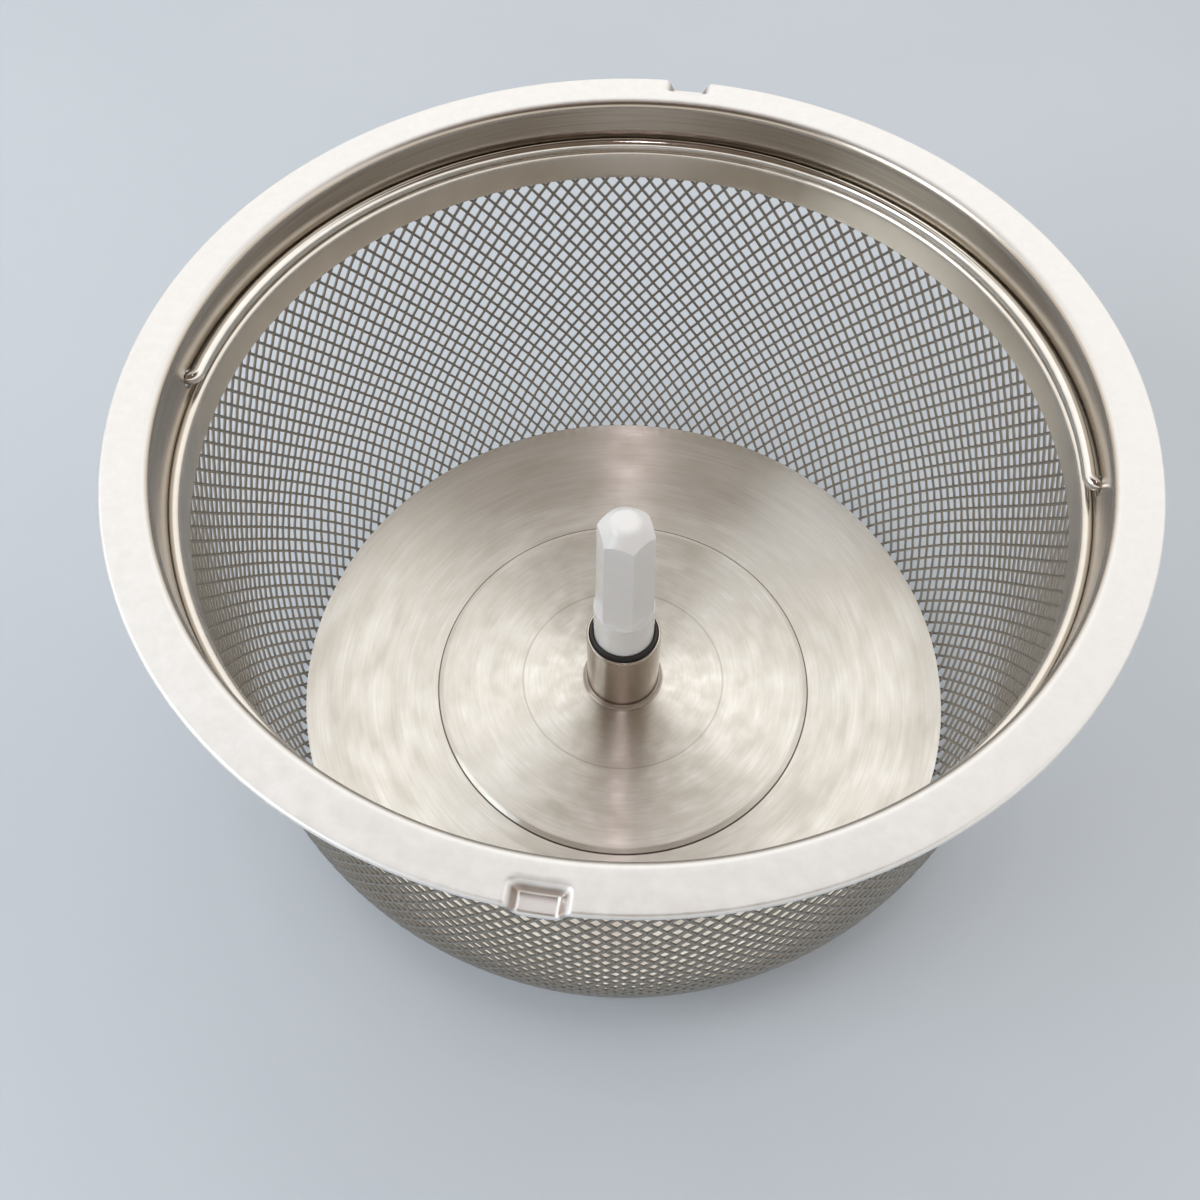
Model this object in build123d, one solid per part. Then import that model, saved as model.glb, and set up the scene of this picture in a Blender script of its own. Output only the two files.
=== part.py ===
from build123d import *
from math import asin, cos, degrees, hypot, pi, radians, tan
import os

# Mesh basket of a salad spinner, in millimetres.
# The axis of rotation is Z, the basket stands on Z = 0, the bail pivots lie on X.

# Rim
rim_diameter = 200.0
overall_height = 118.0
rim_gauge = 0.8
flange_width = 9.2
rim_wall_height = 20.6
rim_bend = 1.8
hem_width = 4.6

# Drive notches pressed into the rim, on +Y and -Y
notch_width = 10.4
notch_reach = 4.4
notch_depth = 2.7
notch_draft = 24.0
notch_corner = 1.8
notch_floor_round = 1.6

# Clamp band with the ledge that carries the folded bail
ledge_drop = 11.8
band_height = 7.7
band_gauge = 0.6
ledge_bend = 1.3

# Woven wire wall
mesh_thickness = 1.3
mesh_bulge = 1.1
mesh_bulge_drop = 52.0
mesh_turn_drop = 85.0
mesh_turn_out = 0.35
mesh_foot_round = 1.2
mesh_tuck = 15.0
mesh_columns = 36
mesh_rows = 8
mesh_bar = 2.4
mesh_border = 2.0

# Base plate and its underside cover
plate_gauge = 0.8
base_inset = 6.5
base_edge_rise = 5.3
base_slope = 12.5
base_bend = 60.0
base_edge_gap = 0.6
foot_height = 3.5
foot_radius = 60.0
foot_width = 5.0
foot_flare = 3.2
foot_bend = 1.4
cover_inset = 1.0

# Hub plate with its drawn neck
hub_plate_inset = 10.6
hub_plate_gauge = 0.9
hub_shoulder_width = 1.2
hub_shoulder_edge = 0.25
hub_crease_radius = 27.0
hub_rise = 0.5
neck_height = 2.0
neck_gauge = 0.6
neck_fillet = 0.8

# Bearing collar
collar_diameter = 19.0
collar_gauge = 0.8
collar_lip_height = 30.1
collar_flange_radius = 12.5

# Spindle
spindle_diameter = 15.3
spindle_tip_height = 78.5
spindle_shoulder_height = 26.0
spindle_end_height = 1.5
hex_across_flats = 12.9
hex_start_height = 43.0
hex_draft = 0.9
hex_turn = 52.5
dome_height = 3.7
dome_flat_radius = 3.2
dome_top_round = 2.4
dome_shoulder_round = 1.5
journal_diameter = 10.0
pivot_bore_diameter = 6.1
pivot_bore_depth = 30.0
bore_chamfer = 0.6

# Bearing pieces
bush_length = 8.0
washer_gauge = 0.7
washer_rim_gap = 0.5
clip_gauge = 0.8
clip_radial_width = 2.6
clip_groove_depth = 0.8
clip_mouth = 5.0
seal_length = 5.2
seal_stand = 1.35
seal_crown = 0.35

# Bail handle
bail_wire = 2.6
bail_corner = 2.0
bail_pivot_drop = 8.3
bail_head_diameter = 5.4
bail_head_length = 1.2
bail_head_gap = 0.8

# Clearances
lay_gap = 0.1
press_gap = 0.03
running_clearance = 0.05
seal_clearance = 0.25
axial_play = 0.15
swing_gap = 0.3
pivot_clearance = 0.6

# Heights and radii that follow from the sizes above
rim_radius = rim_diameter / 2
rim_wall_radius = rim_radius - flange_width
base_edge_radius = rim_wall_radius - base_inset
rim_wall_foot = overall_height - rim_wall_height
mesh_top_radius = rim_wall_radius - lay_gap - mesh_thickness
band_outer_radius = mesh_top_radius - lay_gap
band_inner_radius = band_outer_radius - band_gauge
ledge_height = overall_height - ledge_drop
band_foot = ledge_height - band_height
base_top = foot_height + 2 * plate_gauge
base_edge_top = base_top + base_edge_rise
hub_top = base_top + hub_plate_gauge
collar_radius = collar_diameter / 2
collar_bore = collar_radius - collar_gauge
spindle_radius = spindle_diameter / 2
dome_foot = spindle_tip_height - dome_height
hex_narrowing = (dome_foot - hex_start_height) * tan(radians(hex_draft))
dome_radius = (hex_across_flats / 2 - hex_narrowing) / cos(radians(30))
journal_radius = journal_diameter / 2
bush_outer = collar_bore - press_gap
bush_bore = journal_radius + running_clearance
upper_washer_foot = spindle_shoulder_height - washer_gauge
upper_bush_top = upper_washer_foot - axial_play
clip_foot = spindle_end_height + 2 * clip_gauge
lower_washer_foot = clip_foot + clip_gauge
lower_bush_foot = lower_washer_foot + washer_gauge + axial_play
pivot_height = overall_height - bail_pivot_drop
bail_reach = rim_wall_radius - swing_gap - bail_wire / 2
bail_fall = ledge_drop - bail_pivot_drop - swing_gap - bail_wire / 2
bail_rest_angle = degrees(asin(bail_fall / bail_reach))
slope_rise = tan(radians(base_slope))
slope_stretch = 1 / cos(radians(base_slope))
base_flat_radius = base_edge_radius - base_edge_rise / slope_rise
hub_plate_radius = base_flat_radius - hub_plate_inset


def base_cone(radius):
    """Height of the sloping upper face of the base plate at a radius."""
    return base_edge_top - (base_edge_radius - radius) * slope_rise


def clamp_line(radius, depth):
    """Height of a face that lies a depth below the sloping face of the base plate."""
    return base_cone(radius) - depth * slope_stretch


def revolved(outline):
    """Ring turned from a closed outline of (radius, height, corner round) points."""
    points = [(radius, height) for radius, height, corner in outline]
    corners = [corner for radius, height, corner in outline]
    profile = make_face(FilletPolyline(*points, radius=corners, close=True))
    return revolve(Plane.XZ * profile, axis=Axis.Z)


def revolved_sheet(path, gauge, side):
    """Ring turned from a sheet of even gauge, laid on one side of its path."""
    profile = make_face(offset(path, amount=gauge, side=side, closed=True))
    return revolve(Plane.XZ * profile, axis=Axis.Z)


def washer(inner, outer, foot, gauge):
    """Flat ring that stands on the height foot."""
    return revolved([(inner, foot, 0), (outer, foot, 0), (outer, foot + gauge, 0), (inner, foot + gauge, 0)])


def rim_ring():
    edge = 0.9 * rim_gauge
    top = overall_height
    ring = revolved([
        (rim_wall_radius, rim_wall_foot, 0),
        (rim_wall_radius, top, rim_bend),
        (rim_radius, top, edge),
        (rim_radius, top - 2 * rim_gauge, edge),
        (rim_radius - hem_width, top - 2 * rim_gauge, rim_gauge / 2),
        (rim_radius - hem_width, top - rim_gauge, 0),
        (rim_wall_radius + rim_gauge, top - rim_gauge, rim_bend - rim_gauge),
        (rim_wall_radius + rim_gauge, rim_wall_foot, 0),
    ])
    for turn in (0, 180):
        ring += Rot(0, 0, turn) * notch_tray()
        ring -= Rot(0, 0, turn) * notch_form(0)
    hole = bail_wire / 2 + pivot_clearance
    length = 2 * (rim_wall_radius + 2 * rim_gauge)
    ring -= Pos(0, 0, pivot_height) * Rot(0, 90, 0) * Cylinder(hole, length)
    return ring


def notch_form(grow):
    """Tapered form that presses a notch on +Y, grown by the sheet's gauge for its underside."""
    plan = RectangleRounded(notch_width + 2 * grow, 2 * (notch_reach + grow), notch_corner + grow)
    down = Plane(origin=(0, rim_radius, overall_height), z_dir=(0, 0, -1))
    form = extrude(down * plan, notch_depth + grow, taper=notch_draft)
    floor = form.faces().sort_by(Axis.Z)[0]
    return fillet(floor.edges(), notch_floor_round + grow)


def notch_tray():
    """Sheet pressed down below the flange, inside the rim's edge."""
    inside_edge = Pos(0, 0, overall_height) * Cylinder(rim_radius - rim_gauge / 2, 8 * notch_depth)
    return notch_form(rim_gauge) & inside_edge


def clamp_band():
    outer = rim_wall_radius - lay_gap
    return revolved([
        (outer, ledge_height, 0),
        (band_inner_radius, ledge_height, ledge_bend),
        (band_inner_radius, band_foot, band_gauge / 3),
        (band_outer_radius, band_foot, band_gauge / 3),
        (band_outer_radius, ledge_height - band_gauge, ledge_bend - band_gauge),
        (outer, ledge_height - band_gauge, 0),
    ])


def cloth_path():
    """Inner face of the cloth, from under the ledge down to the clamp below the base plate."""
    top = ledge_height - ledge_bend - lay_gap
    foot_radius_inside = base_edge_radius + base_edge_gap
    under_plate = plate_gauge + lay_gap
    tuck_radius = base_edge_radius - mesh_tuck
    foot = (foot_radius_inside, clamp_line(foot_radius_inside, under_plate))
    straight = Line((mesh_top_radius, top), (mesh_top_radius, rim_wall_foot))
    barrel = Spline(
        straight @ 1,
        (mesh_top_radius + mesh_bulge, overall_height - mesh_bulge_drop),
        (mesh_top_radius + mesh_turn_out, overall_height - mesh_turn_drop),
        foot,
    )
    tuck = Line(foot, (tuck_radius, clamp_line(tuck_radius, under_plate)))
    path = Wire([straight, barrel, tuck])
    corner = path.vertices().sort_by_distance(foot)[0]
    return path.fillet_2d(mesh_foot_round, [corner])


def cloth_rings(path, wall_length):
    """Places down the path of the rows of diamonds, and of the plain rings that follow them."""
    row_step = (wall_length - mesh_border - 2 * mesh_foot_round) / (mesh_rows + 1)
    rows = [mesh_border + (row + 1) * row_step for row in range(mesh_rows)]
    bend = [wall_length - step * mesh_foot_round / 2 for step in (2, 1, 0)]
    return row_step, rows, [rows[-1] + row_step] + bend + [path.length]


def cloth_face(path, depth):
    """Triangles of one face of the cloth in one column, with the four corners of each diamond gap."""
    row_step, rows, rings = cloth_rings(path, path.length - mesh_tuck * slope_stretch)
    half_turn = 180 / mesh_columns

    def corner(place, turns):
        point = path.position_at(place, position_mode=PositionMode.LENGTH)
        along = path.tangent_at(place, position_mode=PositionMode.LENGTH)
        spot = Vector(point.X - along.Y * depth, 0, point.Y + along.X * depth)
        return spot.rotate(Axis.Z, turns * half_turn)

    def diamond(row, turns):
        half_width = pi * path.position_at(rows[row], position_mode=PositionMode.LENGTH).X / mesh_columns
        reach = 1 - mesh_bar / 2 * hypot(half_width, row_step) / (half_width * row_step)
        rise = row_step * reach
        return {
            "right": corner(rows[row], turns + reach),
            "top": corner(rows[row] - rise, turns),
            "left": corner(rows[row], turns - reach),
            "bottom": corner(rows[row] + rise, turns),
        }

    triangles = []
    gaps = []

    def quad(first, second, third, fourth):
        triangles.extend([(first, second, third), (first, third, fourth)])

    for row in range(mesh_rows):
        turns = row % 2
        gap = diamond(row, turns)
        beside = diamond(row, turns + 2)
        gaps.append([gap[side] for side in ("right", "top", "left", "bottom")])
        if row == 0:
            edge = [corner(0, turns + step) for step in range(3)]
            quad(edge[0], gap["top"], gap["right"], edge[1])
            quad(edge[1], beside["left"], beside["top"], edge[2])
            triangles.append((edge[1], gap["right"], beside["left"]))
        if row < mesh_rows - 1:
            below = diamond(row + 1, turns + 1)
            quad(gap["right"], gap["bottom"], below["left"], below["top"])
            quad(beside["left"], below["top"], below["right"], beside["bottom"])
            triangles.append((gap["right"], below["top"], beside["left"]))
        if row > 0:
            above = diamond(row - 1, turns + 1)
            triangles.append((gap["right"], beside["left"], above["bottom"]))
        if row == mesh_rows - 1:
            edge = [corner(rings[0], turns + step) for step in range(3)]
            quad(gap["right"], gap["bottom"], edge[0], edge[1])
            quad(beside["left"], edge[1], edge[2], beside["bottom"])
            triangles.append((gap["right"], edge[1], beside["left"]))
    for upper, lower in zip(rings, rings[1:]):
        for step in (turns, turns + 1):
            quad(corner(upper, step), corner(lower, step), corner(lower, step + 1), corner(upper, step + 1))
    top_rim = [corner(0, step) for step in range(3)]
    foot_rim = [corner(path.length, turns + step) for step in range(3)]
    return triangles, gaps, [top_rim, foot_rim]


def mesh_wall():
    """Barrel wall of wire cloth, open between its bars: flat facets, repeated column by column."""
    path = cloth_path()
    inner, inner_gaps, inner_rims = cloth_face(path, 0)
    outer, outer_gaps, outer_rims = cloth_face(path, mesh_thickness)
    triangles = inner + outer
    loops = [(near + near[:1], far + far[:1]) for near, far in zip(inner_gaps, outer_gaps)]
    loops += zip(inner_rims, outer_rims)
    for inner_loop, outer_loop in loops:
        for step in range(len(inner_loop) - 1):
            near = inner_loop[step:step + 2]
            far = outer_loop[step:step + 2]
            triangles += [(near[0], near[1], far[1]), (near[0], far[1], far[0])]
    column = [Face(Wire.make_polygon(corners, close=True)) for corners in triangles]
    faces = []
    for turn in range(mesh_columns):
        faces += [face.rotate(Axis.Z, turn * 360 / mesh_columns) for face in column]
    return Solid(Shell(faces))


def base_plate():
    path = FilletPolyline(
        (collar_radius + lay_gap, base_top),
        (base_flat_radius, base_top),
        (base_edge_radius, base_edge_top),
        radius=base_bend,
    )
    return revolved_sheet(path, plate_gauge, Side.RIGHT)


def base_cover():
    """Underside plate: flat below the hub, a standing bead, and a clamp for the mesh."""
    flat = base_top - plate_gauge
    bead_inner = foot_radius - foot_width / 2
    bead_outer = foot_radius + foot_width / 2
    clamp_depth = plate_gauge + 2 * lay_gap + mesh_thickness
    clamp_start = bead_outer + foot_flare
    clamp_end = base_edge_radius - cover_inset
    path = FilletPolyline(
        (collar_radius + lay_gap, flat),
        (bead_inner - foot_flare, flat),
        (bead_inner, plate_gauge),
        (bead_outer, plate_gauge),
        (clamp_start, clamp_line(clamp_start, clamp_depth)),
        (clamp_end, clamp_line(clamp_end, clamp_depth)),
        radius=foot_bend,
    )
    return revolved_sheet(path, plate_gauge, Side.RIGHT)


def hub_plate():
    neck_inner = collar_radius + press_gap
    neck_outer = neck_inner + neck_gauge
    neck_top = hub_top + neck_height
    return revolved([
        (neck_inner, base_top, 0),
        (hub_plate_radius, base_top, 0),
        (hub_plate_radius, base_top + hub_shoulder_edge, hub_shoulder_edge / 2),
        (hub_plate_radius - hub_shoulder_width, hub_top, hub_shoulder_width),
        (hub_crease_radius, hub_top, hub_shoulder_width),
        (neck_outer, hub_top + hub_rise, neck_fillet),
        (neck_outer, neck_top, neck_gauge / 3),
        (neck_inner, neck_top, neck_gauge / 3),
    ])


def hub_collar():
    """Flanged tube: the flange bears under the base cover, the tube stands in the neck."""
    flange_top = foot_height
    flange_foot = flange_top - collar_gauge
    lip = 0.45 * collar_gauge
    return revolved([
        (collar_bore, flange_foot, 0),
        (collar_flange_radius, flange_foot, collar_gauge / 3),
        (collar_flange_radius, flange_top, 0),
        (collar_radius, flange_top, 0),
        (collar_radius, collar_lip_height, lip),
        (collar_bore, collar_lip_height, lip),
    ])


def bush(foot):
    """Plain bearing pressed into the collar."""
    return washer(bush_bore, bush_outer, foot, bush_length)


def shaft_seal():
    """Ring in the mouth of the collar, crowned up round the spindle."""
    inner = spindle_radius + seal_clearance
    outer = collar_bore - press_gap
    crown_top = collar_lip_height + seal_stand
    return revolved([
        (inner, crown_top - seal_length, 0),
        (outer, crown_top - seal_length, 0),
        (outer, collar_lip_height, seal_crown / 2),
        (inner + seal_crown, crown_top, seal_crown / 2),
        (inner, crown_top, seal_crown / 3),
    ])


def hex_spindle():
    """One moulding: journal with a pivot bore below, round skirt, drafted hexagonal drive above."""
    end = spindle_end_height
    bore = pivot_bore_diameter / 2
    groove = journal_radius - clip_groove_depth
    blank = revolved([
        (bore + bore_chamfer, end, 0),
        (journal_radius, end, bore_chamfer),
        (journal_radius, clip_foot, 0),
        (groove, clip_foot, 0),
        (groove, clip_foot + clip_gauge, 0),
        (journal_radius, clip_foot + clip_gauge, 0),
        (journal_radius, spindle_shoulder_height, 0),
        (spindle_radius, spindle_shoulder_height, bore_chamfer),
        (spindle_radius, hex_start_height, 0),
        (dome_radius, dome_foot, dome_shoulder_round),
        (dome_flat_radius, spindle_tip_height, dome_top_round),
        (0, spindle_tip_height, 0),
        (0, end + pivot_bore_depth, 0),
        (bore, end + pivot_bore_depth, 0),
        (bore, end + bore_chamfer, 0),
    ])
    hex_height = spindle_tip_height - hex_start_height
    hexagon = RegularPolygon(hex_across_flats / 2, 6, major_radius=False, rotation=hex_turn)
    drive = extrude(hexagon, hex_height, taper=hex_draft)
    outside = extrude(Circle(spindle_diameter), hex_height) - drive
    return blank - Pos(0, 0, hex_start_height) * outside


def retaining_clip():
    """Open ring sprung into the groove at the lower end of the spindle."""
    inner = journal_radius - clip_groove_depth + running_clearance
    outer = inner + clip_radial_width
    mouth = Pos(outer, 0, clip_foot) * Box(2 * outer, clip_mouth, 4 * clip_gauge)
    return washer(inner, outer, clip_foot, clip_gauge) - mouth


def bail_handle():
    """Wire bent to a half hoop close to the wall, its ends hooked out through it and upset to heads."""
    corner_reach = bail_reach + bail_corner
    hoop_start = asin(bail_corner / corner_reach)
    head_start = rim_wall_radius + rim_gauge + bail_head_gap
    hook_start = corner_reach * cos(hoop_start)
    hook_turn = degrees(hoop_start) - 90
    right_hook = Line((head_start, 0), (hook_start, 0))
    right_corner = JernArc((hook_start, 0), (-1, 0), bail_corner, hook_turn)
    hoop_end = (-(right_corner @ 1).X, (right_corner @ 1).Y)
    arch = ThreePointArc(right_corner @ 1, (0, bail_reach), hoop_end)
    left_corner = JernArc(arch @ 1, arch % 1, bail_corner, hook_turn)
    left_hook = Line(left_corner @ 1, (-head_start, 0))
    path = Wire([right_hook, right_corner, arch, left_corner, left_hook])
    section = Plane(origin=path @ 0, z_dir=path % 0) * Circle(bail_wire / 2)
    wire = sweep(section, path=path)
    for side in (1, -1):
        head = Rot(0, 90, 0) * Cylinder(bail_head_diameter / 2, bail_head_length)
        wire += Pos(side * (head_start + bail_head_length / 2), 0, 0) * head
    return Pos(0, 0, pivot_height) * Rot(-bail_rest_angle, 0, 0) * wire


washer_outer = collar_bore - washer_rim_gap
washer_bore = journal_radius + running_clearance

nodes = {
    "rim_ring": rim_ring(),
    "clamp_band": clamp_band(),
    "mesh_wall": mesh_wall(),
    "base_plate": base_plate(),
    "base_cover": base_cover(),
    "hub_plate": hub_plate(),
    "hub_collar": hub_collar(),
    "upper_bush": bush(upper_bush_top - bush_length),
    "lower_bush": bush(lower_bush_foot),
    "shaft_seal": shaft_seal(),
    "hex_spindle": hex_spindle(),
    "upper_washer": washer(washer_bore, washer_outer, upper_washer_foot, washer_gauge),
    "lower_washer": washer(washer_bore, washer_outer, lower_washer_foot, washer_gauge),
    "retaining_clip": retaining_clip(),
    "bail_handle": bail_handle(),
}

os.makedirs("parts", exist_ok=True)
for name, shape in nodes.items():
    export_step(shape, f"parts/{name}.step")
print(f"bail travel {180 + 2 * bail_rest_angle:.2f} degrees")
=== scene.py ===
"""Looks of a mesh salad spinner basket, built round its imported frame. Lengths are in metres."""
import math

import bpy
import numpy as np
from mathutils import Matrix, Vector


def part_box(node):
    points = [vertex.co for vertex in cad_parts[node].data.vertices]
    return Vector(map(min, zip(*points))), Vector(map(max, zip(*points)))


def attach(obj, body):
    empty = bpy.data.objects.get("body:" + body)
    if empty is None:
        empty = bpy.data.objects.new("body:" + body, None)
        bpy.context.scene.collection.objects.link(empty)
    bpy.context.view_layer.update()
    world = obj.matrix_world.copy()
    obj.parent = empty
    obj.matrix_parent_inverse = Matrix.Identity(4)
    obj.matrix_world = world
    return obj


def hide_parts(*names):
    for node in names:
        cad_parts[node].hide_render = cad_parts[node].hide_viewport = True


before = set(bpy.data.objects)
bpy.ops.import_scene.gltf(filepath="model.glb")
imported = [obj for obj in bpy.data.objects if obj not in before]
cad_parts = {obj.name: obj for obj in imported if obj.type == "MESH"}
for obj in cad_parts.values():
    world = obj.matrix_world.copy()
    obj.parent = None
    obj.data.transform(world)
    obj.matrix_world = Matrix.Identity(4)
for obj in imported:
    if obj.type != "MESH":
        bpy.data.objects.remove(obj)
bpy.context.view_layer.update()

MM = 0.001

# Camera, as seen in the photograph of 1200 by 1200 pixels
IMAGE_SIDE = 1200
FOCAL_PIXELS = 1202
SENSOR_MM = 36.0
CAMERA_RADIUS = 153.3 * MM
CAMERA_ABOVE_RIM = 176.6 * MM
CAMERA_AZIMUTH = math.radians(277.0)
CAMERA_HEADING = math.radians(9.24)
CAMERA_TILT = math.radians(58.39)
CAMERA_ROLL = math.radians(-0.48)
NEAREST_SEEN = 10.0 * MM

# Pressed rim: a flange with a hemmed edge on an upright wall, two notches and two pivot holes
RIM_GAUGE = 0.8 * MM
RIM_WALL_RADIUS = 90.8 * MM
RIM_BEND = 1.8 * MM
HEM_WIDTH = 4.6 * MM
HEM_ROUND = 0.9 * RIM_GAUGE
NOTCH_DEPTH = 2.7 * MM
NOTCH_HALF_WIDTH = 5.3 * MM
NOTCH_FLOOR_HALF_WIDTH = 2.9 * MM
NOTCH_START = 95.3 * MM
NOTCH_FLOOR_START = 96.9 * MM
PIVOT_HOLE_RADIUS = 1.9 * MM
PIVOT_DROP = 8.3 * MM

# Clamp band with its rounded ledge
BAND_GAUGE = 0.6 * MM
BAND_INNER_RADIUS = 88.7 * MM
LEDGE_BEND = 1.3 * MM

# Grid of the turned sheets, finer near the notches and the pivot holes
FINE_TURN = math.radians(0.2)
FINE_REACH = math.radians(5.0)
PLAIN_TURN = math.radians(0.6)
FINE_STEP = FINE_TURN * RIM_WALL_RADIUS
HOLE_STEPS = round(PIVOT_HOLE_RADIUS / FINE_STEP)
PATCH_STEPS = 2 * HOLE_STEPS
NOTCH_STEPS = 8
ARC_STEPS = 8
LATHE_STEP = 1.0 * MM

# Baking map of the turned sheets: bands round the axis, each with a margin at its sides
BAKE_BANDS = 8
BAKE_MARGIN = 0.02

# Wire cloth: two families of wires that cross on the bias
WIRES_ROUND = 154
WIRE_RADIUS = 0.37 * MM
WIRE_CRIMP = 0.05 * MM
WIRE_BETWEEN_CROSSINGS = 3.22 * MM
WIRE_SIDES = 5
SAMPLES_PER_CROSSING = 3

# Middle of the cloth as (radius, height) down the wall, and its tuck under the base plate
CLOTH_TOP = (90.05 * MM, 104.4 * MM)
CLOTH_WALL = [
    (90.05 * MM, 97.4 * MM),
    (91.15 * MM, 66.0 * MM),
    (90.4 * MM, 33.0 * MM),
    (85.45 * MM, 9.2 * MM),
]
CLOTH_END = (76.0 * MM, 7.0 * MM)
CLOTH_FOOT_ROUND = 1.6 * MM
CLOTH_FOOT_STEPS = 12
PROFILE_STEP = 0.25 * MM

# Marks on the sheets: clouds, painted shade in the seam round the hub plate, along its crease and round its
# neck, and the rim's flange, below which the wall is painted darker as shade
SEAM_WIDTH = 0.5 * MM
CREASE_RADIUS = 27.0 * MM
CREASE_WIDTH = 0.6 * MM
CREASE_SHADE = 0.5
CLOUD_SHADE = 0.7
NECK_RADIUS = 10.6 * MM
NECK_BLEND = 0.4 * MM
FLANGE_START = 92.0 * MM
FLANGE_BLEND = 0.8 * MM

# Room light: walls that fade into a ceiling, and a dark patch that leans from the zenith to the camera
WALL_COLOUR = (0.90, 0.84, 0.76)
CEILING_COLOUR = (1.44, 1.42, 1.39)
CEILING_START = 0.6
SHADE_COLOUR = (0.16, 0.12, 0.09)
SHADE_LEAN = math.radians(22)
SHADE_CORE = math.radians(35)
SHADE_EDGE = math.radians(50)

# Floor and lamps
FLOOR_RADIUS = 4.0
FLOOR_SIDES = 96
FLOOR_DROP = 0.2 * MM
WINDOW_LAMP = {"place": (-1.0, -0.5, 0.85), "size": 0.8, "power": 5.5, "colour": (0.84, 0.93, 1.0)}
CEILING_LAMP = {"place": (0.0, -0.05, 1.2), "size": 0.06, "power": 0.28, "colour": (1.0, 0.86, 0.90)}

rim_foot, rim_top = (corner.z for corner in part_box("rim_ring"))
rim_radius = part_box("rim_ring")[1].x
band_foot, ledge_height = (corner.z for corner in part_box("clamp_band"))
band_outer_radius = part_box("clamp_band")[1].x
hub_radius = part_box("hub_plate")[1].x


# Shader helpers

class Nodes:
    """A node tree that is filled by short calls."""

    def __init__(self, tree):
        self.tree = tree

    def node(self, kind, inputs=(), **settings):
        """A new node, with each input linked to a socket or set to a value."""
        made = self.tree.nodes.new(kind)
        for name, value in settings.items():
            setattr(made, name, value)
        for key, value in dict(inputs).items():
            if isinstance(value, bpy.types.NodeSocket):
                self.tree.links.new(value, made.inputs[key])
            else:
                made.inputs[key].default_value = value
        return made

    def noise(self, vector, scale, detail=3.0, roughness=0.55):
        inputs = {"Vector": vector, "Scale": scale, "Detail": detail, "Roughness": roughness}
        return self.node("ShaderNodeTexNoise", inputs).outputs["Fac"]

    def vector(self, operation, first, second=(0.0, 0.0, 0.0), output="Vector"):
        made = self.node("ShaderNodeVectorMath", {0: first, 1: second}, operation=operation)
        return made.outputs[output]

    def math(self, operation, first, second=0.0):
        return self.node("ShaderNodeMath", {0: first, 1: second}, operation=operation).outputs["Value"]

    def ranged(self, value, low, high, start=0.3, end=0.7):
        """The span from start to end, which by default is that of a noise, mapped to low and high."""
        inputs = {"Value": value, "From Min": start, "From Max": end, "To Min": low, "To Max": high}
        return self.node("ShaderNodeMapRange", inputs).outputs["Result"]

    def blend(self, factor, first, second):
        """A number between two others."""
        inputs = {"Factor": factor, "A": first, "B": second}
        return self.node("ShaderNodeMix", inputs).outputs["Result"]

    def mixed(self, factor, first, second):
        """A colour between two others."""
        made = self.node("ShaderNodeMix", data_type="RGBA")
        self.tree.links.new(factor, made.inputs["Factor"])
        for socket, colour in (("A", first), ("B", second)):
            target = [s for s in made.inputs if s.name == socket and s.type == "RGBA"][0]
            if isinstance(colour, bpy.types.NodeSocket):
                self.tree.links.new(colour, target)
            else:
                target.default_value = (*colour, 1.0)
        return [s for s in made.outputs if s.type == "RGBA"][0]


class Shader(Nodes):
    """A material round one principled shader."""

    def __init__(self, name):
        self.material = bpy.data.materials.new(name)
        self.material.use_nodes = True
        super().__init__(self.material.node_tree)
        self.bsdf = self.tree.nodes["Principled BSDF"]

    def set(self, **values):
        for name, value in values.items():
            self.bsdf.inputs[name.replace("_", " ")].default_value = value
        return self

    def link(self, source, name):
        self.tree.links.new(source, self.bsdf.inputs[name])

    def place(self):
        return self.node("ShaderNodeTexCoord").outputs["Object"]

    def flat(self):
        return self.vector("MULTIPLY", self.place(), (1.0, 1.0, 0.0))

    def radius(self):
        return self.vector("LENGTH", self.flat(), output="Value")

    def circle(self, radius, width):
        """1 on a thin line round the Z axis, fading to 0 at its sides."""
        off = self.math("ABSOLUTE", self.math("SUBTRACT", self.radius(), radius))
        return self.ranged(off, 1.0, 0.0, width / 4, width / 2)

    def turned(self, rings, arcs, detail=2.0):
        """Noise drawn out round the Z axis: rings per metre of radius, and how short its arcs are."""
        spread = self.vector("MULTIPLY", self.vector("NORMALIZE", self.flat()), (arcs, arcs, 0.0))
        lift = self.node("ShaderNodeCombineXYZ", {"Z": self.math("MULTIPLY", self.radius(), rings)})
        return self.noise(self.vector("ADD", spread, lift.outputs["Vector"]), 1.0, detail)

    def drawn(self, streaks, arcs):
        """Noise drawn out round an upright wall: streaks per metre of height, arcs per metre across."""
        return self.noise(self.vector("MULTIPLY", self.place(), (arcs, arcs, streaks)), 1.0)

    def bump(self, height, strength, distance):
        made = self.node("ShaderNodeBump", {"Height": height, "Strength": strength, "Distance": distance})
        self.link(made.outputs["Normal"], "Normal")

    def round_tangent(self):
        """Lays the stretch of an anisotropic gloss round the Z axis."""
        made = self.node("ShaderNodeTangent", direction_type="RADIAL", axis="Z")
        self.link(made.outputs["Tangent"], "Tangent")


# Materials

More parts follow.
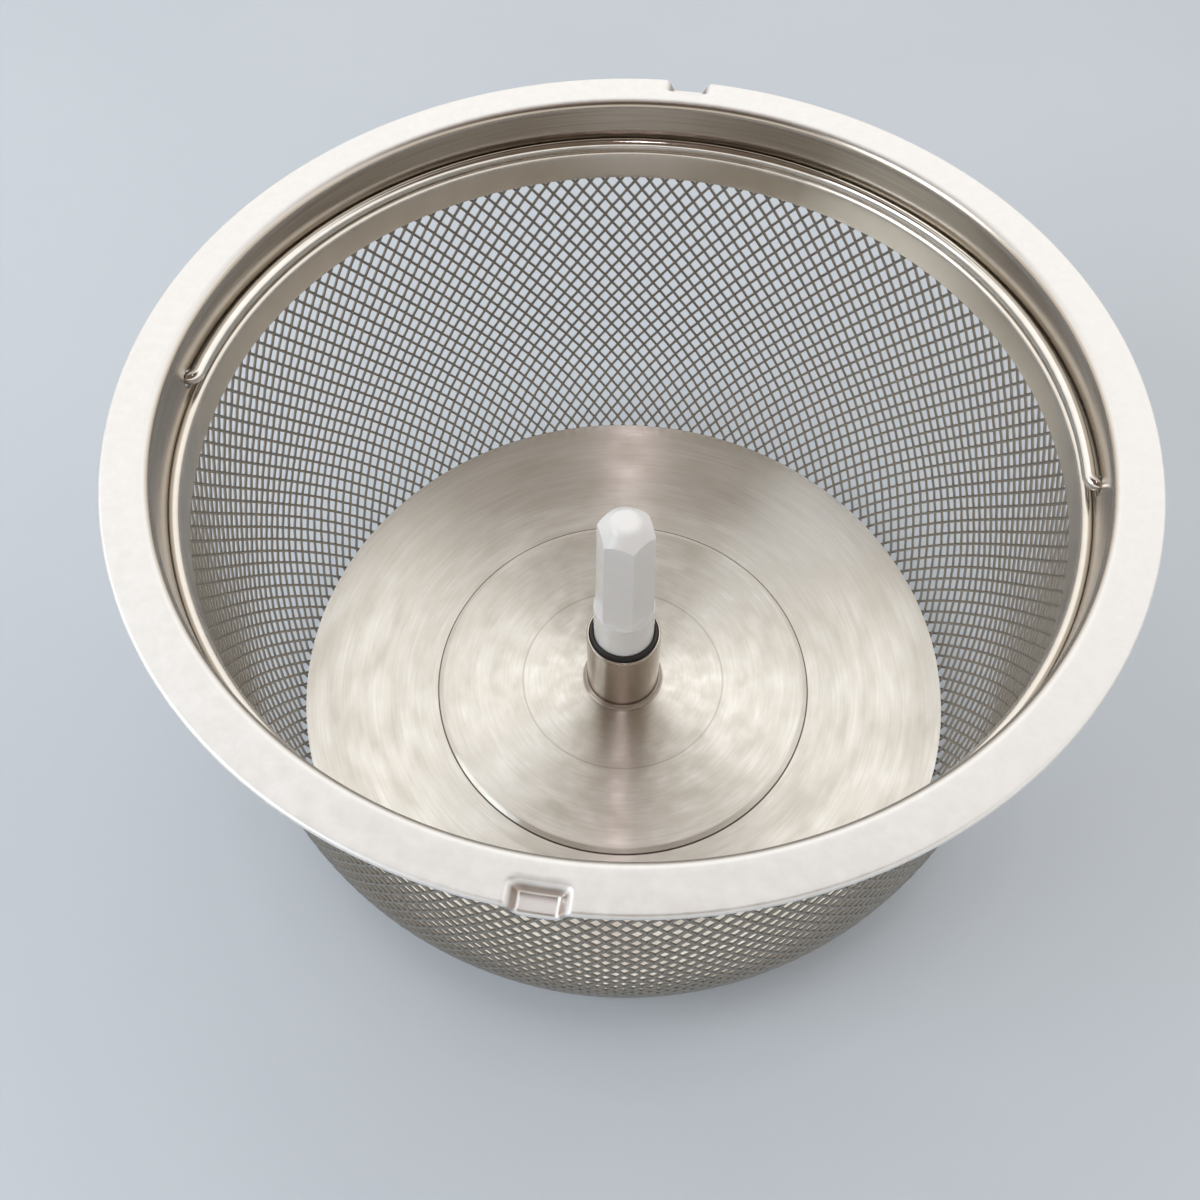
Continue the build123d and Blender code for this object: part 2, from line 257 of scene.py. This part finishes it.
def brushed_plate():
    """Stainless sheet turned on a lathe: fine strokes, soft clouds, and painted shade in the seam round the
    hub plate, along its crease and round its neck.
    """
    dark, bright, cloudy = (0.84, 0.81, 0.75), (0.98, 0.96, 0.915), (0.79, 0.745, 0.665)
    crease_shade_colour, seam_shade, neck_shade = (0.52, 0.47, 0.42), (0.16, 0.13, 0.11), (0.50, 0.44, 0.39)
    s = Shader("brushed_plate").set(Metallic=1.0, Anisotropic=1.0, Anisotropic_Rotation=0.25)
    rings = s.turned(rings=700.0, arcs=6.0)
    strokes = s.turned(rings=1500.0, arcs=4.0, detail=3.0)
    clouds = s.turned(rings=220.0, arcs=5.0, detail=4.0)
    # painted shade: the crease is a darker line in the colour
    crease_shade_mask = s.math("MULTIPLY", s.circle(CREASE_RADIUS, CREASE_WIDTH), CREASE_SHADE)
    # painted shade: a dark line in the seam round the hub plate
    seam_shade_mask = s.circle(hub_radius + SEAM_WIDTH / 4, SEAM_WIDTH)
    # painted shade: darker colour round the neck at the collar's foot
    neck_shade_mask = s.ranged(s.radius(), 1.0, 0.0, NECK_RADIUS, NECK_RADIUS + NECK_BLEND)
    colour = s.mixed(s.ranged(strokes, 0.0, 1.0), dark, bright)
    colour = s.mixed(s.ranged(clouds, 0.0, CLOUD_SHADE), colour, cloudy)
    colour = s.mixed(crease_shade_mask, colour, crease_shade_colour)
    colour = s.mixed(seam_shade_mask, colour, seam_shade)
    s.link(s.mixed(neck_shade_mask, colour, neck_shade), "Base Color")
    s.link(s.ranged(clouds, 0.285, 0.38), "Roughness")
    s.bump(rings, strength=0.10, distance=0.02 * MM)
    s.round_tangent()
    return s.material


def rim_steel():
    """Pressed sheet: a satin flange, with the sides of its notches darkened as painted shade, on a drawn
    wall painted much darker than the flange as painted shade and painted reflection.
    """
    satin_dark, satin_bright = (0.79, 0.784, 0.774), (0.855, 0.852, 0.846)
    wall_shade_dark, wall_shade_bright = (0.40, 0.36, 0.31), (0.54, 0.49, 0.435)
    notch_side_shade, notch_floor = (0.50, 0.44, 0.40), (0.84, 0.83, 0.83)
    s = Shader("rim_steel").set(Metallic=1.0)
    sideways, _, height = s.node("ShaderNodeSeparateXYZ", {0: s.place()}).outputs
    depth = s.math("SUBTRACT", rim_top, height)
    off_centre = s.math("ABSOLUTE", sideways)
    flange = s.ranged(s.radius(), 0.0, 1.0, FLANGE_START - FLANGE_BLEND, FLANGE_START)
    notch = s.ranged(off_centre, 1.0, 0.0, NOTCH_HALF_WIDTH, NOTCH_HALF_WIDTH + FLANGE_BLEND)
    pressed = s.math("MULTIPLY", notch, s.ranged(depth, 0.0, 1.0, NOTCH_DEPTH / 4, NOTCH_DEPTH / 2))
    floor_start, floor_end = 0.84 * NOTCH_DEPTH, 0.97 * NOTCH_DEPTH
    floor = s.ranged(depth, 0.0, 1.0, floor_start, floor_end)
    grain = s.noise(s.place(), scale=900.0)
    cloud = s.noise(s.place(), scale=420.0, detail=4.0)
    streak = s.drawn(streaks=2500.0, arcs=30.0)
    satin = s.mixed(s.ranged(cloud, 0.0, 1.0), satin_dark, satin_bright)
    # painted shade: the sides of the pressed notches are coloured darker than their floor
    satin = s.mixed(pressed, satin, s.mixed(floor, notch_side_shade, notch_floor))
    # painted shade and painted reflection: the wall is coloured far darker than the flange of the same
    # sheet
    drawn = s.mixed(s.ranged(streak, 0.0, 1.0), wall_shade_dark, wall_shade_bright)
    s.link(s.mixed(flange, drawn, satin), "Base Color")
    polish = s.blend(pressed, s.ranged(cloud, 0.50, 0.58), s.ranged(cloud, 0.36, 0.42))
    s.link(s.blend(flange, s.ranged(streak, 0.18, 0.25), polish), "Roughness")
    s.bump(grain, strength=0.06, distance=0.02 * MM)
    return s.material


def cover_steel():
    """Plain pressed sheet of the underside."""
    dark, bright = (0.70, 0.68, 0.65), (0.84, 0.82, 0.79)
    s = Shader("cover_steel").set(Metallic=1.0, Anisotropic=0.5, Anisotropic_Rotation=0.25)
    strokes = s.turned(rings=1800.0, arcs=5.0, detail=4.0)
    s.link(s.mixed(s.ranged(strokes, 0.0, 1.0), dark, bright), "Base Color")
    s.link(s.ranged(strokes, 0.285, 0.38), "Roughness")
    s.round_tangent()
    return s.material


def bright_steel(name, colour, roughness):
    """Drawn or polished stainless with faint smears."""
    dark = tuple(0.9 * c for c in colour)
    s = Shader(name).set(Metallic=1.0)
    smear = s.noise(s.place(), scale=220.0)
    s.link(s.mixed(s.ranged(smear, 0.0, 1.0), dark, colour), "Base Color")
    s.link(s.ranged(smear, 0.8 * roughness, 1.2 * roughness), "Roughness")
    s.bump(smear, strength=0.03, distance=0.02 * MM)
    return s.material


def white_plastic():
    """Glossy moulded plastic with a faint flow in its skin."""
    dark, bright = (0.95, 0.955, 0.965), (0.98, 0.983, 0.99)
    s = Shader("white_plastic").set(IOR=1.49, Subsurface_Weight=0.12, Subsurface_Scale=2.0 * MM)
    skin = s.noise(s.place(), scale=160.0, detail=4.0)
    s.link(s.mixed(s.ranged(skin, 0.0, 1.0), dark, bright), "Base Color")
    s.link(s.ranged(skin, 0.14, 0.22), "Roughness")
    s.bump(skin, strength=0.05, distance=0.05 * MM)
    return s.material


def black_rubber():
    dark, bright = (0.012, 0.012, 0.013), (0.03, 0.03, 0.031)
    s = Shader("black_rubber").set(IOR=1.5)
    grain = s.noise(s.place(), scale=900.0, detail=4.0)
    s.link(s.mixed(s.ranged(grain, 0.0, 1.0), dark, bright), "Base Color")
    s.link(s.ranged(grain, 0.38, 0.55), "Roughness")
    s.bump(grain, strength=0.2, distance=0.03 * MM)
    return s.material


def bearing_bronze():
    dark, bright = (0.36, 0.24, 0.12), (0.62, 0.44, 0.25)
    s = Shader("bearing_bronze").set(Metallic=1.0)
    pores = s.noise(s.place(), scale=2500.0, detail=2.0)
    s.link(s.mixed(s.ranged(pores, 0.0, 1.0), dark, bright), "Base Color")
    s.link(s.ranged(pores, 0.35, 0.5), "Roughness")
    return s.material


def pale_floor():
    dark, bright = (0.58, 0.64, 0.71), (0.62, 0.68, 0.75)
    s = Shader("pale_floor").set(Roughness=0.75)
    cloud = s.noise(s.place(), scale=4.0, detail=5.0)
    s.link(s.mixed(s.ranged(cloud, 0.0, 1.0), dark, bright), "Base Color")
    return s.material


# Mesh helpers

def unit(vector):
    return vector / np.linalg.norm(vector, axis=-1, keepdims=True)


def smooth(value, start, end):
    """0 up to start, 1 from end, and a soft step between them."""
    t = np.clip((value - start) / (end - start), 0, 1)
    return t * t * (3 - 2 * t)


def run_along(points):
    """Distance of each point from the first, along the line through them."""
    return np.concatenate([[0], np.cumsum(np.linalg.norm(np.diff(points, axis=0), axis=1))])


def add_mesh(name, points, faces, bake_map):
    """A smooth mesh object with its own map for baking."""
    mesh = bpy.data.meshes.new(name)
    mesh.from_pydata(points.tolist(), [], faces)
    mesh.shade_smooth()
    layer = mesh.uv_layers.new(name="OFBake")
    layer.data.foreach_set("uv", bake_map)
    made = bpy.data.objects.new(name, mesh)
    bpy.context.scene.collection.objects.link(made)
    return made


# Turned sheets

def rounded(outline):
    """Closed loop of (radius, height) points from corners of (radius, height, round), clockwise."""
    corners = np.array([corner[:2] for corner in outline])
    loop = []
    for i, (_, _, size) in enumerate(outline):
        here = corners[i]
        if not size:
            loop.append(here)
            continue
        back = unit(corners[i - 1] - here)
        ahead = unit(corners[(i + 1) % len(corners)] - here)
        half = math.acos(back @ ahead) / 2
        centre = here + unit(back + ahead) * size / math.sin(half)
        start, end = (here + way * size / math.tan(half) - centre for way in (back, ahead))
        for t in np.linspace(0, 1, ARC_STEPS + 1):
            loop.append(centre + size * unit((1 - t) * start + t * end))
    return np.array(loop)


def divided(loop):
    """The loop with its long stretches cut into even steps."""
    points = []
    for here, after in zip(loop, np.roll(loop, -1, axis=0)):
        count = max(1, math.ceil(np.linalg.norm(after - here) / LATHE_STEP))
        points += [here + (after - here) * t for t in np.arange(count) / count]
    return np.array(points)


def turned_grid(loop, angles):
    """Radius, height and angle of each point, with a row for each point of the loop."""
    shape = np.ones((len(loop), len(angles)))
    return shape * loop[:, :1], shape * loop[:, 1:], shape * angles


def turned_mesh(name, radius, height, angle, keep=None, extra=()):
    """Mesh of a grid of points, closed along its loop and round the axis, with a baking map in bands."""
    rows, columns = radius.shape
    points = np.stack([radius * np.cos(angle), radius * np.sin(angle), height], axis=-1)
    index = np.arange(rows * columns).reshape(rows, columns)
    below, beside = np.roll(index, -1, axis=0), np.roll(index, -1, axis=1)
    corner = np.roll(below, -1, axis=1)
    quads = np.stack([index, below, corner, beside], axis=-1)
    along = BAKE_MARGIN + (1 - 2 * BAKE_MARGIN) * np.arange(rows + 1) / rows
    round_way = np.arange(columns + 1) / columns * BAKE_BANDS
    band = np.floor(round_way[:-1])
    across = np.stack([round_way[:-1] - band, round_way[1:] - band])
    spread = np.empty((rows, columns, 4, 2))
    for spot, (down, over) in enumerate([(0, 0), (1, 0), (1, 1), (0, 1)]):
        spread[:, :, spot, 0] = across[over][None, :]
        spread[:, :, spot, 1] = (band[None, :] + along[down:rows + down, None]) / BAKE_BANDS
    if keep is not None:
        quads, spread = quads[keep], spread[keep]
    faces = np.concatenate([quads.reshape(-1, 4), np.array(extra, int).reshape(-1, 4)])
    used, faces = np.unique(faces, return_inverse=True)
    bake_map = np.concatenate([spread.reshape(-1), np.full(8 * len(extra), 0.5)])
    return add_mesh(name, points.reshape(-1, 3)[used], faces.reshape(-1, 4).tolist(), bake_map)


def rim_angles():
    """Angles round the rim, closer together at the notches and the pivot holes."""
    angles = []
    quarter = math.pi / 2
    plain_reach = quarter - 2 * FINE_REACH
    fine = round(2 * FINE_REACH / FINE_TURN)
    plain = round(plain_reach / PLAIN_TURN)
    for side in range(4):
        start = side * quarter - FINE_REACH
        angles += [start + FINE_TURN * i for i in range(fine)]
        angles += [start + 2 * FINE_REACH + plain_reach * i / plain for i in range(plain)]
    return np.array(angles)


def rim_loop():
    """Section through the rim, with rows on both faces of its wall that line up at the pivot holes."""
    pivot = rim_top - PIVOT_DROP
    rows = [pivot + i * FINE_STEP for i in range(-PATCH_STEPS, PATCH_STEPS + 1)]
    outside = RIM_WALL_RADIUS + RIM_GAUGE
    hem_foot = rim_top - 2 * RIM_GAUGE
    hem_inside = rim_radius - HEM_WIDTH
    outline = [(RIM_WALL_RADIUS, rim_foot, 0)]
    outline += [(RIM_WALL_RADIUS, height, 0) for height in rows]
    outline.append((RIM_WALL_RADIUS, rim_top, RIM_BEND))
    outline += [(radius, rim_top, 0) for radius in np.linspace(NOTCH_START, NOTCH_FLOOR_START, NOTCH_STEPS)]
    outline += [
        (rim_radius, rim_top, HEM_ROUND),
        (rim_radius, hem_foot, HEM_ROUND),
        (hem_inside, hem_foot, RIM_GAUGE / 2),
        (hem_inside, rim_top - RIM_GAUGE, 0),
        (outside, rim_top - RIM_GAUGE, RIM_BEND - RIM_GAUGE),
    ]
    outline += [(outside, height, 0) for height in reversed(rows)]
    outline.append((outside, rim_foot, 0))
    return divided(rounded(outline))


def make_rim():
    """The rim as one turned grid: its notches pressed down, its pivot holes drawn round."""
    radius, height, angle = turned_grid(rim_loop(), rim_angles())
    sideways = abs(radius * np.cos(angle))
    press = 1 - smooth(sideways, NOTCH_FLOOR_HALF_WIDTH, NOTCH_HALF_WIDTH)
    height = height - NOTCH_DEPTH * press * smooth(radius, NOTCH_START, NOTCH_FLOOR_START)
    just_outside = RIM_WALL_RADIUS + 1.1 * RIM_GAUGE
    height, angle, inside = round_holes(height, angle, on_wall=radius < just_outside)
    below, beside = np.roll(inside, -1, axis=0), np.roll(inside, -1, axis=1)
    dropped = inside | below | beside | np.roll(below, -1, axis=1)
    return turned_mesh("pressed_rim", radius, height, angle, ~dropped, hole_walls(dropped))


def round_holes(height, angle, on_wall):
    """Draws the square of grid points round each pivot into a circle, and tells which lie inside it."""
    pivot = rim_top - PIVOT_DROP
    hole, patch, half_step = HOLE_STEPS * FINE_STEP, PATCH_STEPS * FINE_STEP, FINE_STEP / 2
    inside = np.zeros(angle.shape, bool)
    for centre in (0.0, math.pi):
        off = (angle - centre + math.pi) % (2 * math.pi) - math.pi
        across, up = off * RIM_WALL_RADIUS, height - pivot
        reach = np.maximum(abs(across), abs(up))
        inside |= on_wall & (reach < hole - half_step)
        drawn = on_wall & (reach > hole - half_step) & (reach < patch - half_step)
        pull = np.clip((patch - reach) / (patch - hole), 0, 1)
        distance = np.maximum(np.hypot(across, up), half_step)
        scale = np.where(drawn, 1 - pull + pull * reach / distance, 1)
        angle = angle + across * (scale - 1) / RIM_WALL_RADIUS
        height = height + up * (scale - 1)
    return height, angle, inside


def hole_walls(dropped):
    """Faces through the sheet that join the two edges of each hole."""
    rows, columns = dropped.shape
    walls = []
    inner, outer = np.split(np.flatnonzero(dropped.any(axis=1)), 2)
    for near, far in zip(inner, outer[::-1]):
        for column in np.flatnonzero(dropped[near]):
            after = (column + 1) % columns
            top_near, foot_near = (near + 1) * columns, near * columns
            top_far, foot_far = far * columns, (far + 1) * columns
            if not dropped[near, column - 1]:
                walls.append((foot_near + column, top_near + column, top_far + column, foot_far + column))
            if not dropped[near, after]:
                walls.append((foot_near + after, foot_far + after, top_far + after, top_near + after))
            if not dropped[near - 1, column]:
                walls.append((foot_near + column, foot_far + column, foot_far + after, foot_near + after))
            if not dropped[near + 1, column]:
                walls.append((top_near + column, top_near + after, top_far + after, top_far + column))
    return walls


def make_band():
    """L-shaped band whose rounded ledge carries the folded bail."""
    outer = BAND_INNER_RADIUS + BAND_GAUGE
    loop = divided(rounded([
        (BAND_INNER_RADIUS, band_foot, BAND_GAUGE / 3),
        (BAND_INNER_RADIUS, ledge_height, LEDGE_BEND),
        (band_outer_radius, ledge_height, 0),
        (band_outer_radius, ledge_height - BAND_GAUGE, 0),
        (outer, ledge_height - BAND_GAUGE, LEDGE_BEND - BAND_GAUGE),
        (outer, band_foot, BAND_GAUGE / 3),
    ]))
    return turned_mesh("ledge_band", *turned_grid(loop, np.arange(0, 2 * math.pi, PLAIN_TURN)))


# Wire cloth

def cloth_curve():
    """Points of the cloth's middle as (radius, height), down the curved wall and round its foot."""
    wall = np.array(CLOTH_WALL)
    chord = run_along(wall)
    slope = np.gradient(wall, chord, axis=0)
    points = [np.array(CLOTH_TOP)]
    for i in range(len(wall) - 1):
        span = chord[i + 1] - chord[i]
        for t in np.linspace(0, 1, int(span / PROFILE_STEP), endpoint=False):
            points.append(
                (2 * t**3 - 3 * t**2 + 1) * wall[i] + (t**3 - 2 * t**2 + t) * span * slope[i]
                + (3 * t**2 - 2 * t**3) * wall[i + 1] + (t**3 - t**2) * span * slope[i + 1]
            )
    foot, end = wall[-1], np.array(CLOTH_END)
    points = [p for p in points if p[1] > foot[1] + CLOTH_FOOT_ROUND]
    enter, leave = points[-1], foot + CLOTH_FOOT_ROUND * unit(end - foot)
    for t in np.linspace(0, 1, CLOTH_FOOT_STEPS)[1:]:
        points.append((1 - t)**2 * enter + 2 * t * (1 - t) * foot + t**2 * leave)
    return np.array(points + [end])


def cloth_profile():
    """The same curve as evenly spaced points, with how far each lies along it."""
    points = cloth_curve()
    run = run_along(points)
    even = np.linspace(0, run[-1], int(run[-1] / PROFILE_STEP))
    return np.stack([np.interp(even, run, points[:, axis]) for axis in (0, 1)], axis=1), even


def wire_path(hand):
    """Centre line of one wire: it climbs round the wall with its family and weaves through the other."""
    profile, run = cloth_profile()
    half_diamond = math.pi * profile[:, 0] / WIRES_ROUND
    turn_rate = (math.pi / WIRES_ROUND) / np.sqrt(WIRE_BETWEEN_CROSSINGS**2 - half_diamond**2)
    turn = np.concatenate([[0], np.cumsum((turn_rate[1:] + turn_rate[:-1]) / 2 * np.diff(run))])
    crossings = turn * WIRES_ROUND / math.pi
    steps = np.arange(0, crossings[-1], 1 / SAMPLES_PER_CROSSING)
    radius, height, angle = (np.interp(steps, crossings, column) for column in (*profile.T, hand * turn))
    along = unit(np.gradient(np.stack([radius, height], axis=1), axis=0))
    outward = np.stack([-along[:, 1], along[:, 0]], axis=1)
    crimp = hand * WIRE_CRIMP * np.cos(math.pi * steps)
    radius = radius + crimp * outward[:, 0]
    height = height + crimp * outward[:, 1]
    centre = np.stack([radius * np.cos(angle), radius * np.sin(angle), height], axis=1)
    normal = np.stack([outward[:, 0] * np.cos(angle), outward[:, 0] * np.sin(angle), outward[:, 1]], axis=1)
    return centre, normal


def wire_family(name, hand):
    """All the wires that lean one way, as one mesh of tubes with a map along each wire."""
    centre, normal = wire_path(hand)
    tangent = unit(np.gradient(centre, axis=0))
    side = unit(np.cross(tangent, normal))
    normal = np.cross(side, tangent)
    ring = np.linspace(0, 2 * math.pi, WIRE_SIDES, endpoint=False)
    tube = centre[:, None] + WIRE_RADIUS * (
        np.cos(ring)[None, :, None] * normal[:, None] + np.sin(ring)[None, :, None] * side[:, None]
    )
    tube = tube.reshape(-1, 3)
    count = len(centre)
    spots = np.arange(count * WIRE_SIDES).reshape(count, WIRE_SIDES)
    beside = np.roll(spots, -1, axis=1)
    quads = np.stack([spots[:-1], beside[:-1], beside[1:], spots[1:]], axis=-1).reshape(-1, 4)
    points, faces = [], []
    for wire in range(WIRES_ROUND):
        spin = np.array(Matrix.Rotation(2 * math.pi * wire / WIRES_ROUND, 3, "Z"))
        offset = wire * len(tube)
        points.append(tube @ spin.T)
        faces += (quads + offset).tolist()
        faces += [(spots[0][::-1] + offset).tolist(), (spots[-1] + offset).tolist()]
    return add_mesh(name, np.concatenate(points), faces, wire_map(count))


def wire_map(count):
    """Places on the baking map: each wire is a strip, laid side by side."""
    along, side = np.meshgrid(np.arange(count - 1), np.arange(WIRE_SIDES), indexing="ij")
    across = np.stack([along, along, along + 1, along + 1], axis=-1) / (count - 1)
    over = np.stack([side, side + 1, side + 1, side], axis=-1) / WIRE_SIDES
    strips = []
    for wire in range(WIRES_ROUND):
        strips.append(np.stack([across, (over + wire) / WIRES_ROUND], axis=-1).reshape(-1))
        strips.append(np.full(4 * WIRE_SIDES, (wire + 0.5) / WIRES_ROUND))
    return np.concatenate(strips)


# Stage

def add_floor():
    bpy.ops.mesh.primitive_circle_add(
        vertices=FLOOR_SIDES, radius=FLOOR_RADIUS, fill_type="NGON", location=(0, 0, -FLOOR_DROP)
    )
    floor = bpy.context.object
    floor.name = "floor"
    floor.data.materials.append(pale_floor())


def add_world():
    """A bright room, warm towards its walls, with a dark patch overhead on the camera's side.

    A direction of unit length that rises by CEILING_START or more is all ceiling.
    """
    world = bpy.data.worlds.new("soft_room")
    world.use_nodes = True
    bpy.context.scene.world = world
    n = Nodes(world.node_tree)
    way = n.node("ShaderNodeTexCoord").outputs["Generated"]
    up = n.node("ShaderNodeSeparateXYZ", {0: way}).outputs["Z"]
    room = n.mixed(n.ranged(up, 0.0, 1.0, 0.0, CEILING_START), WALL_COLOUR, CEILING_COLOUR)
    lean = Matrix.Rotation(SHADE_LEAN, 3, "X") @ Vector((0, 0, 1))
    near = n.vector("DOT_PRODUCT", way, lean, "Value")
    shade = n.ranged(near, 0.0, 1.0, math.cos(SHADE_EDGE), math.cos(SHADE_CORE))
    colour = n.mixed(shade, room, SHADE_COLOUR)
    world.node_tree.links.new(colour, world.node_tree.nodes["Background"].inputs["Color"])


def add_lamp(name, place, size, power, colour):
    """A round lamp that shines at the origin."""
    lamp = bpy.data.lights.new(name, "AREA")
    lamp.shape = "DISK"
    lamp.size = size
    lamp.energy = power
    lamp.color = colour
    made = bpy.data.objects.new(name, lamp)
    bpy.context.scene.collection.objects.link(made)
    made.location = place
    aim = -made.location
    made.rotation_euler = aim.to_track_quat("-Z", "Y").to_euler()


def add_camera():
    camera = bpy.data.cameras.new("camera")
    camera.sensor_width = SENSOR_MM
    camera.lens = SENSOR_MM * FOCAL_PIXELS / IMAGE_SIDE
    camera.clip_start = NEAREST_SEEN
    made = bpy.data.objects.new("camera", camera)
    bpy.context.scene.collection.objects.link(made)
    place = Matrix.Translation((
        CAMERA_RADIUS * math.cos(CAMERA_AZIMUTH),
        CAMERA_RADIUS * math.sin(CAMERA_AZIMUTH),
        rim_top + CAMERA_ABOVE_RIM,
    ))
    heading = Matrix.Rotation(CAMERA_HEADING, 4, "Z")
    tilt = Matrix.Rotation(math.pi / 2 - CAMERA_TILT, 4, "X")
    roll = Matrix.Rotation(CAMERA_ROLL, 4, "Z")
    made.matrix_world = place @ heading @ tilt @ roll
    bpy.context.scene.camera = made


# Scene

def dress(material, *nodes):
    """Gives solids of the frame their material."""
    for node in nodes:
        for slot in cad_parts[node].material_slots:
            slot.link = "OBJECT"
            slot.material = material


def stand_in(made, node, material):
    """Shows a finer mesh in place of one of the basket's solids."""
    made.data.materials.append(material)
    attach(made, "basket")
    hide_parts(node)


def build():
    add_camera()
    add_floor()
    add_world()
    add_lamp("window_lamp", **WINDOW_LAMP)
    add_lamp("ceiling_lamp", **CEILING_LAMP)
    polished = bright_steel("polished_steel", colour=(0.74, 0.71, 0.67), roughness=0.10)
    collar = bright_steel("collar_steel", colour=(0.60, 0.54, 0.48), roughness=0.15)
    band = bright_steel("band_steel", colour=(0.70, 0.655, 0.595), roughness=0.22)
    # painted shade: the wires are coloured darker than bare steel to stand in for their backlit look
    wire = bright_steel("wire_steel", colour=(0.36, 0.335, 0.30), roughness=0.36)
    dress(cover_steel(), "base_cover")
    dress(brushed_plate(), "base_plate", "hub_plate")
    dress(polished, "bail_handle", "upper_washer", "lower_washer", "retaining_clip")
    dress(collar, "hub_collar")
    dress(white_plastic(), "hex_spindle")
    dress(black_rubber(), "shaft_seal")
    dress(bearing_bronze(), "upper_bush", "lower_bush")
    stand_in(make_rim(), "rim_ring", rim_steel())
    stand_in(make_band(), "clamp_band", band)
    for name, hand in (("cloth_wires_right", 1), ("cloth_wires_left", -1)):
        stand_in(wire_family(name, hand), "mesh_wall", wire)


bpy.context.scene.view_settings.view_transform = "Standard"
build()
